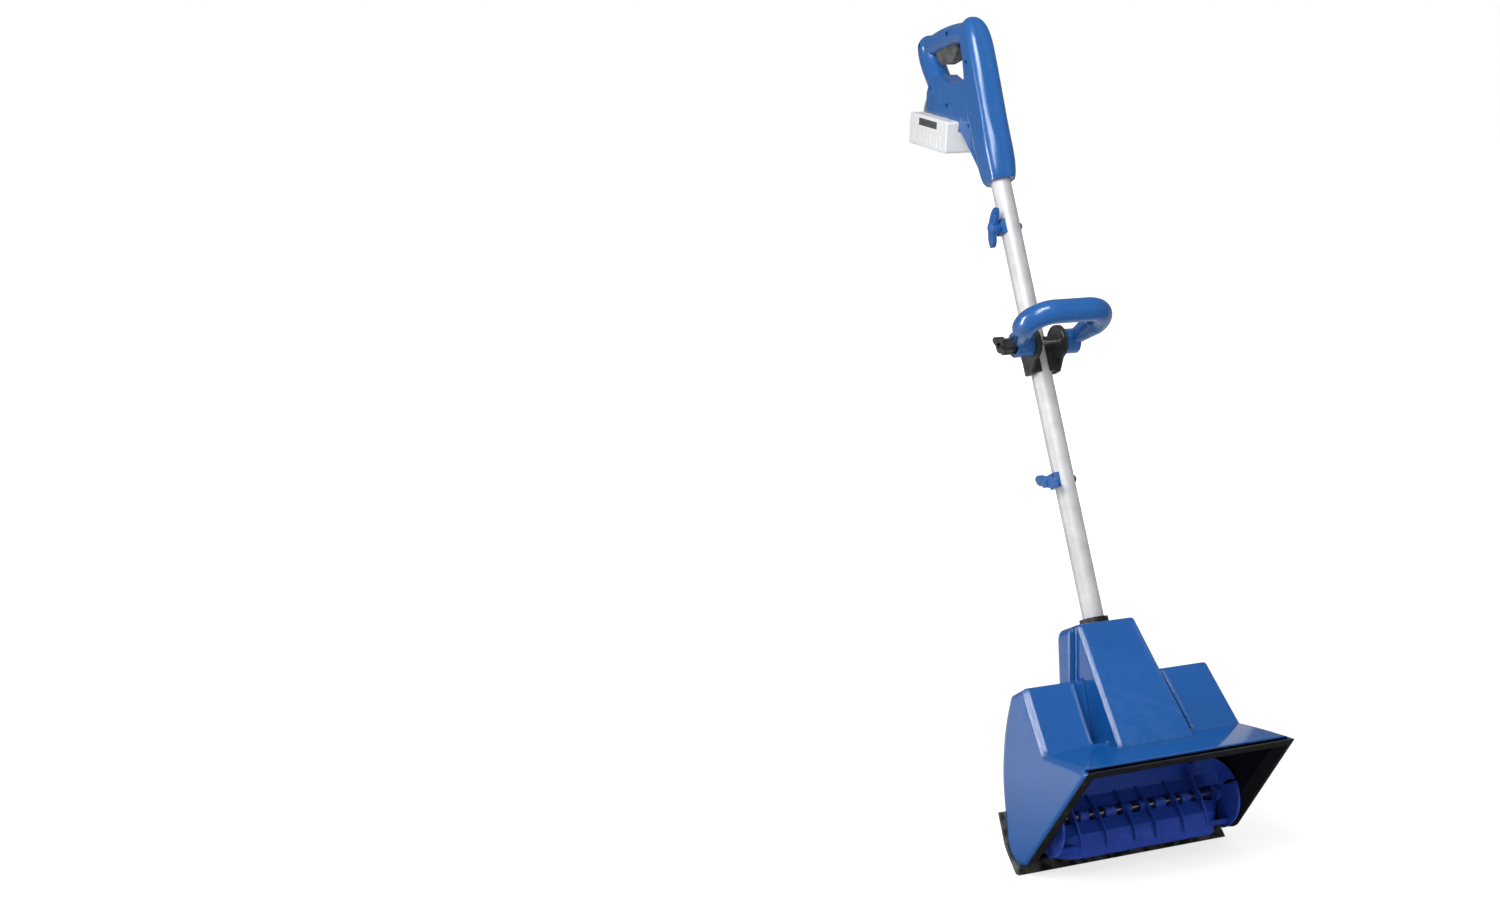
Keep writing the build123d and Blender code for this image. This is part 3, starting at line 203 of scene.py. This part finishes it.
# ------------------------------------------------------------------ rotor
# The rotor is one blue moulding with S-shaped blades, cut away along the hub so that the steel shaft shows
# through. It turns in two sintered bronze bushes in the scoop's side walls.
ROTOR_BLUE = (0.016, 0.048, 0.31)
rotor_blue = moulded("rotor_blue", ROTOR_BLUE, (0.10, 0.14, 0.55), rough=0.32, spread=0.03, wear=0.25,
                     grain=500.0, grain_height=0.1, bump=0.0002, shine=0.12)
finish_node("rotor", rotor_blue)
shaft_steel = metal("shaft_steel", (0.58, 0.58, 0.57), 0.22, stretch=(0.2, 6.0, 6.0))
finish_node("rotor_shaft", shaft_steel)
bush_bronze = metal("bush_bronze", (0.52, 0.35, 0.16), 0.42, scale=900.0, bump=0.00006)
finish_node("rotor_bush_left", bush_bronze)
finish_node("rotor_bush_right", bush_bronze)

# ------------------------------------------------------------------ drive
# The motor stands in the right wing on a pressed steel plate, and a rubber belt outside the scoop's wall
# turns the rotor. All of it is closed in by the hood.
finish_node("rotor_pulley", liner_black)
belt_rubber = moulded("belt_rubber", (0.018, 0.018, 0.018), (0.07, 0.07, 0.07), rough=0.7, spread=0.08,
                      grain=1200.0, grain_height=1.0, bump=0.0003)
finish_node("drive_belt", belt_rubber)
finish_node("motor", metal("motor_can", (0.42, 0.42, 0.43), 0.34, stretch=(8.0, 1.0, 1.0)))
finish_node("motor_bracket", zinc_steel)
finish_node("motor_pulley", zinc_steel)
finish_node("motor_shaft", shaft_steel)

# ------------------------------------------------------------------ pole
# Three drawn aluminium tubes with a satin anodised skin slide into each other. The lowest stands in a black
# socket in the hood's tower.
finish_node("pole_socket", liner_black)
tube_satin = metal("tube_satin_aluminium", (0.43, 0.43, 0.44), 0.55, spread=0.04, stretch=(9.0, 1.0, 1.0),
                   scale=160.0, bump=0.00001, metallic=0.2)
for tube in ("lower_tube", "middle_tube", "upper_tube"):
    finish_node(tube, tube_satin)

# ------------------------------------------------------------------ pole locks
# A round-headed bolt crosses each pole joint. A blue wing knob draws it tight against a saddle-shaped pad.
knob_blue = moulded("knob_blue", HOOD_BLUE, WORN_BLUE, rough=0.3, spread=0.05, wear=0.3, grain=700.0,
                    grain_height=0.3, bump=0.0003)
finish_node("lower_lock_bolt", zinc_steel)
finish_node("upper_lock_bolt", zinc_steel)
for end in ("lower", "upper"):
    finish_node(end + "_lock_saddle", knob_blue)
    finish_node(end + "_lock_knob", knob_blue)

# ------------------------------------------------------------------ loop handle
# The front handle is a thick hollow-moulded loop. Two black clamp halves grip the pole between its ring
# bosses, and one bolt with a wing knob holds the lot.
handle_blue = moulded("handle_blue", (0.012, 0.088, 0.29), WORN_BLUE, rough=0.24, spread=0.04, wear=0.15,
                      grain=500.0, grain_height=0.1, bump=0.0002, coat=0.3, roll=0.0)
finish_node("assist_handle", handle_blue)
clamp_black = moulded("clamp_black", (0.016, 0.016, 0.016), (0.09, 0.09, 0.09), rough=0.36, spread=0.08,
                      wear=0.5, grain=900.0, grain_height=0.6, bump=0.0003)
finish_node("clamp_half_left", clamp_black)
finish_node("clamp_half_right", clamp_black)
finish_node("clamp_knob", clamp_black)
finish_node("clamp_bolt", zinc_steel)

# ------------------------------------------------------------------ rear handle
# Two blue halves meet along the middle and eight screws in round wells join them. The safety button sits in
# the side of the arch and the trigger hangs under it.
finish_node("handle_shell_left", handle_blue)
finish_node("handle_shell_right", handle_blue)
screw_black = metal("screw_black_oxide", (0.05, 0.05, 0.05), 0.35)
finish_node("handle_screws", screw_black)
trigger_grey = moulded("trigger_grey", (0.045, 0.043, 0.043), (0.14, 0.14, 0.14), rough=0.42, wear=0.4,
                       grain=900.0, grain_height=0.8, bump=0.0003)
finish_node("trigger", trigger_grey)
finish_node("lock_button", trigger_grey)
finish_node("trigger_pin", shaft_steel)
finish_node("trigger_spring", shaft_steel)

# ------------------------------------------------------------------ inside the handle
# A microswitch over the trigger, the control board in the spine and the contacts in the foot are closed in
# by the shells. One cable runs down inside the pole.
switch_black = moulded("switch_black", (0.03, 0.03, 0.03), (0.1, 0.1, 0.1), rough=0.45)
finish_node("power_switch", switch_black)
finish_node("terminal_block", switch_black)
board_green = moulded("board_green", (0.02, 0.12, 0.05), (0.2, 0.3, 0.2), rough=0.35, grain=300.0)
finish_node("control_board", board_green)
finish_node("power_cable", belt_rubber)

# ------------------------------------------------------------------ battery
# The pack is two white halves round a row of cells, with vent grooves down its sides, a charge gauge let
# into one side, and a grey latch at the back that lets it slide off its rail.
pack_white = moulded("pack_white", (0.60, 0.61, 0.62), (0.5, 0.5, 0.5), rough=0.36, spread=0.05, wear=0.25,
                     grain=800.0, grain_height=0.4, bump=0.0003)
finish_node("battery_lid", pack_white)
finish_node("battery_base", pack_white)
finish_node("battery_cells", moulded("cell_sleeve", (0.1, 0.3, 0.18), (0.3, 0.5, 0.4), rough=0.3))
gauge_dark = moulded("gauge_film", (0.05, 0.052, 0.056), (0.2, 0.2, 0.2), rough=0.25)
finish_node("battery_gauge", gauge_dark)
pack_grey = moulded("latch_grey", (0.13, 0.13, 0.125), (0.3, 0.3, 0.3), rough=0.4, wear=0.4)
finish_node("battery_latch", pack_grey)

# ------------------------------------------------------------------ floor, lights and camera
# A white studio floor keeps a faint contact shadow, and goes plain white further out. Tall strip lamps are
# there for the long highlights of polished plastic, which sees a dimmer room than the lens does.
FLOOR_HALF = 30.0
FLOOR_WHITE = 0.85
FLOOR_GLOW = 1.35
floor_mesh = bpy.data.meshes.new("studio_floor")
floor_corners = [(x * FLOOR_HALF, y * FLOOR_HALF, 0) for x, y in ((-1, -1), (1, -1), (1, 1), (-1, 1))]
floor_mesh.from_pydata(floor_corners, [], [(0, 1, 2, 3)])
floor = bpy.data.objects.new("studio_floor", floor_mesh)
bpy.context.scene.collection.objects.link(floor)
floor_paint = bpy.data.materials.new("studio_floor_paint")
floor_paint.use_nodes = True
floor_tree = floor_paint.node_tree
floor_tree.nodes.remove(floor_tree.nodes["Principled BSDF"])
ray = floor_tree.nodes.new("ShaderNodeLightPath")
spot = floor_tree.nodes.new("ShaderNodeTexCoord")

# Matt paint that reflections see dark in front of the tool and pale behind it.
along = floor_tree.nodes.new("ShaderNodeSeparateXYZ")
floor_tree.links.new(spot.outputs["Object"], along.inputs[0])
tint = floor_tree.nodes.new("ShaderNodeMix")
tint.inputs["A"].default_value = FLOOR_WHITE
floor_tree.links.new(ray.outputs["Is Glossy Ray"], tint.inputs["Factor"])
floor_tree.links.new(span(floor_tree, along.outputs["Y"], 0.0, 0.5, 0.12, 0.8), tint.inputs["B"])
shade = floor_tree.nodes.new("ShaderNodeCombineColor")
for channel in ("Red", "Green", "Blue"):
    floor_tree.links.new(tint.outputs["Result"], shade.inputs[channel])
matt = floor_tree.nodes.new("ShaderNodeBsdfDiffuse")
floor_tree.links.new(shade.outputs["Color"], matt.inputs["Color"])

# Glow for the lens alone. It makes up about half of the floor under the tool and all of it from 1.8 m away.
glow = floor_tree.nodes.new("ShaderNodeEmission")
glow.inputs["Strength"].default_value = FLOOR_GLOW
reach = floor_tree.nodes.new("ShaderNodeVectorMath")
reach.operation = "LENGTH"
floor_tree.links.new(spot.outputs["Object"], reach.inputs[0])
paleness = floor_tree.nodes.new("ShaderNodeMath")
paleness.operation = "MULTIPLY"
floor_tree.links.new(ray.outputs["Is Camera Ray"], paleness.inputs[0])
floor_tree.links.new(span(floor_tree, reach.outputs["Value"], 0.6, 1.8, 0.55, 1.0), paleness.inputs[1])
blend = floor_tree.nodes.new("ShaderNodeMixShader")
floor_tree.links.new(paleness.outputs[0], blend.inputs["Fac"])
floor_tree.links.new(matt.outputs["BSDF"], blend.inputs[1])
floor_tree.links.new(glow.outputs["Emission"], blend.inputs[2])
floor_tree.links.new(blend.outputs["Shader"], floor_tree.nodes["Material Output"].inputs["Surface"])
floor_mesh.materials.append(floor_paint)

world = bpy.data.worlds.new("studio_world")
bpy.context.scene.world = world
world.use_nodes = True
sky = world.node_tree
backdrop = sky.nodes["Background"]
backdrop.inputs["Color"].default_value = (1, 1, 1, 1)
path = sky.nodes.new("ShaderNodeLightPath")
ROOM_LIGHT = 0.5
ROOM_IN_POLISH = 0.2
polished = span(sky, path.outputs["Is Glossy Ray"], 0.0, 1.0, ROOM_LIGHT, ROOM_IN_POLISH)
strength = sky.nodes.new("ShaderNodeMath")
strength.operation = "MAXIMUM"
sky.links.new(path.outputs["Is Camera Ray"], strength.inputs[0])
sky.links.new(polished, strength.inputs[1])
sky.links.new(strength.outputs[0], backdrop.inputs["Strength"])


def soft_lamp(name, place, target, size, power, mirrored=True, lights=True):
    """A rectangular soft lamp aimed at a target; it shows in reflections, lights matt surfaces, or both."""
    data = bpy.data.lights.new(name, "AREA")
    data.shape = "RECTANGLE"
    data.size, data.size_y = size
    data.energy = power
    lamp = bpy.data.objects.new(name, data)
    lamp.location = place
    lamp.rotation_euler = (Vector(target) - Vector(place)).to_track_quat("-Z", "Y").to_euler()
    lamp.visible_glossy = mirrored
    lamp.visible_diffuse = lights
    bpy.context.scene.collection.objects.link(lamp)


KEY_PLACE = (-1.45, -0.9, 2.1)
MID_POLE = (0.0, 0.1, 0.5)
soft_lamp("key_lamp", KEY_PLACE, MID_POLE, (1.2, 1.3), 66.0, mirrored=False)
soft_lamp("key_strip", KEY_PLACE, MID_POLE, (0.5, 1.3), 70.0, lights=False)
soft_lamp("left_strip", (-2.0, 0.8, 0.6), (0.0, 0.1, 0.4), (0.35, 1.6), 40.0, lights=False)
soft_lamp("back_strip", (1.6, 2.4, 0.9), (0.0, 0.1, 0.2), (0.5, 1.3), 0.8, lights=False)
soft_lamp("spine_panel", (-0.75, -0.9, 2.4), (0.0, 0.4, 1.0), (0.9, 0.6), 22.0, lights=False)
soft_lamp("front_fill", (1.6, -2.2, 1.2), (0.0, 0.1, 0.4), (1.4, 1.4), 14.0, mirrored=False)

lens = bpy.data.cameras.new("studio_camera")
lens.sensor_width = 36.0
lens.lens = 48.15
camera = bpy.data.objects.new("studio_camera", lens)
camera.location = (-1.3906, -2.1206, 0.9598)
camera.rotation_euler = Euler((radians(80.583), radians(1.395), radians(-22.740)))
bpy.context.scene.collection.objects.link(camera)
bpy.context.scene.camera = camera
bpy.context.scene.view_settings.view_transform = "Standard"
